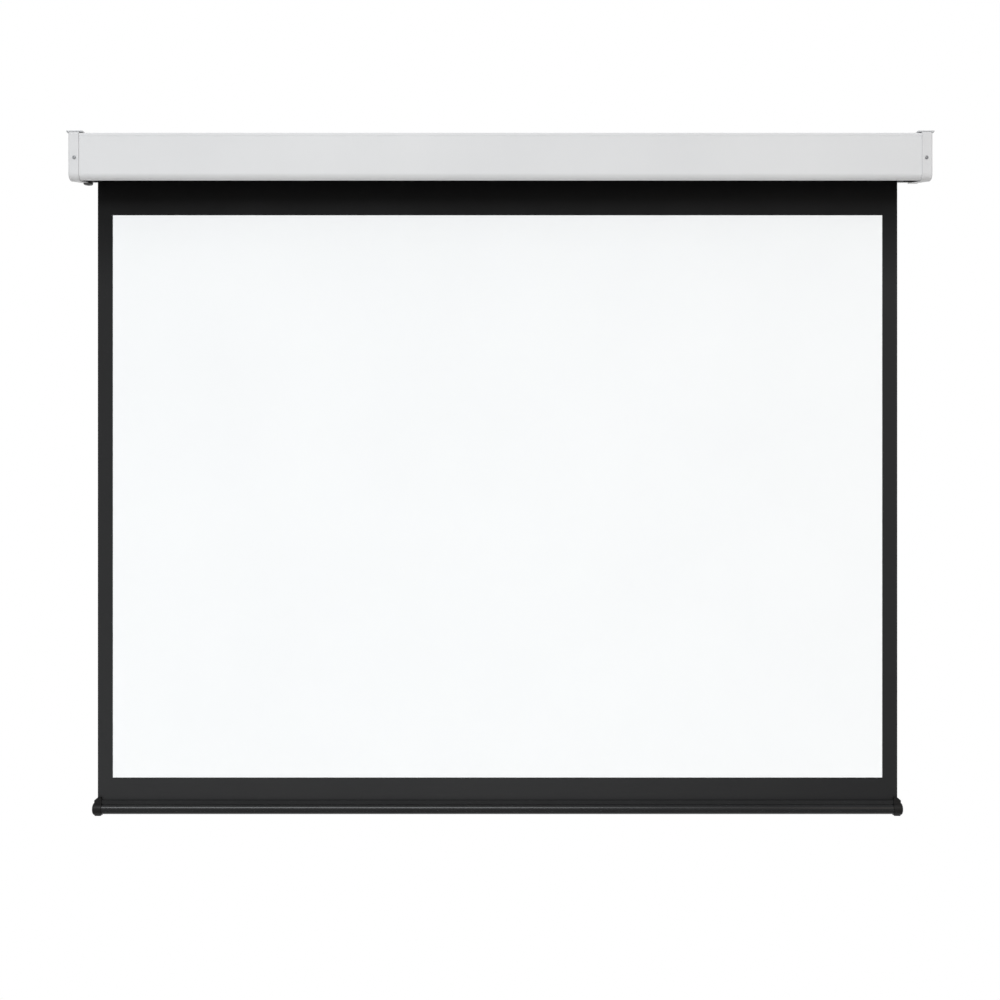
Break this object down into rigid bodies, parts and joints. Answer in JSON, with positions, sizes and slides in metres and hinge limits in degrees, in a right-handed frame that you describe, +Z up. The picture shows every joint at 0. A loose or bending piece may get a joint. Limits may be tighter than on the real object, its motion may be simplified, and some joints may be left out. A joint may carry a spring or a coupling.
{
  "type": "motorized projection screen",
  "caption": "Wall-hung electric projection screen let down from a white case: tubular motor in the roller, matt white sheet with black border, weighted black bottom bar.",
  "frame": {"origin": "on the case's flat back face, at the middle of the case's length and height", "axes": "+X along the case to the viewer's right, +Y towards the wall, +Z up"},
  "size_m": [2.238, 0.1277, 1.8073],
  "materials": {
    "case_white": "satin",
    "cap_white": "satin",
    "zinc_steel": "satin",
    "dark_steel": "matte",
    "aluminium": "satin",
    "black_plastic": "satin",
    "grey_plastic": "matte",
    "white_film": "matte",
    "black_sheet": "matte",
    "black_bar": "satin",
    "brass": "satin"
  },
  "bodies": {
    "case": {"case_shell": "case_white", "hanger_left": "case_white", "hanger_right": "case_white", "end_cap_left": "cap_white", "end_cap_right": "cap_white", "cap_screw_left": "zinc_steel", "cap_screw_right": "zinc_steel", "hanger_bolt_left": "zinc_steel", "hanger_bolt_right": "zinc_steel", "hanger_nut_left": "zinc_steel", "hanger_nut_right": "zinc_steel", "case_rivet_left_lower": "zinc_steel", "case_rivet_left_upper": "zinc_steel", "case_rivet_right_lower": "zinc_steel", "case_rivet_right_upper": "zinc_steel", "motor_tube": "zinc_steel", "motor_screw_lower": "zinc_steel", "motor_screw_upper": "zinc_steel", "terminal_screw": "zinc_steel", "end_plate_left": "dark_steel", "end_plate_right": "dark_steel", "motor_core": "dark_steel", "motor_gearbox": "dark_steel", "motor_head": "black_plastic", "cable_gland": "black_plastic", "gland_cap": "black_plastic", "gland_nut": "black_plastic", "motor_lead": "black_plastic", "inlet_lead": "black_plastic", "run_capacitor": "grey_plastic", "idler_bush": "grey_plastic", "terminal_block": "grey_plastic", "viewing_surface": "white_film", "screen_backing": "black_sheet"},
    "roller": {"roller_tube": "aluminium", "sheet_roll": "black_sheet", "motor_crown": "black_plastic", "output_shaft": "zinc_steel", "drive_wheel": "black_plastic", "shaft_clip": "zinc_steel", "idler_plug": "black_plastic", "idler_retainer": "zinc_steel", "idler_spring": "zinc_steel"},
    "bar": {"bottom_bar": "black_bar", "hem_rod": "zinc_steel", "bar_cap_left": "black_plastic", "bar_cap_right": "black_plastic"},
    "pin": {"idler_pin": "zinc_steel"},
    "up_limit": {"limit_screw_up": "brass"},
    "down_limit": {"limit_screw_down": "brass"}
  },
  "joints": [
    {"name": "screen_travel", "type": "slide", "parent": "case", "child": "bar", "axis": [0, 0, 1], "range_m": [0, 1.651], "deforming": ["screen_backing", "viewing_surface"]},
    {"name": "roller_turn", "type": "hinge", "parent": "case", "child": "roller", "pos_m": [0, -0.058, 0.016], "axis": [1, 0, 0], "range_deg": [0, 3120]},
    {"name": "idler_slide", "type": "slide", "parent": "roller", "child": "pin", "axis": [1, 0, 0], "range_m": [-0.008, 0], "stiffness_N_per_m": 800, "springref_m": 0.012, "deforming": ["idler_spring"]},
    {"name": "up_limit_turn", "type": "hinge", "parent": "case", "child": "up_limit", "pos_m": [-1.095, -0.066, -0.01], "axis": [0, 0, 1], "continuous": true},
    {"name": "down_limit_turn", "type": "hinge", "parent": "case", "child": "down_limit", "pos_m": [-1.095, -0.05, -0.01], "axis": [0, 0, 1], "continuous": true}
  ],
  "couplings": [
    {"joint": "roller_turn", "follows": "screen_travel", "rad_per_m": 32.787}
  ]
}
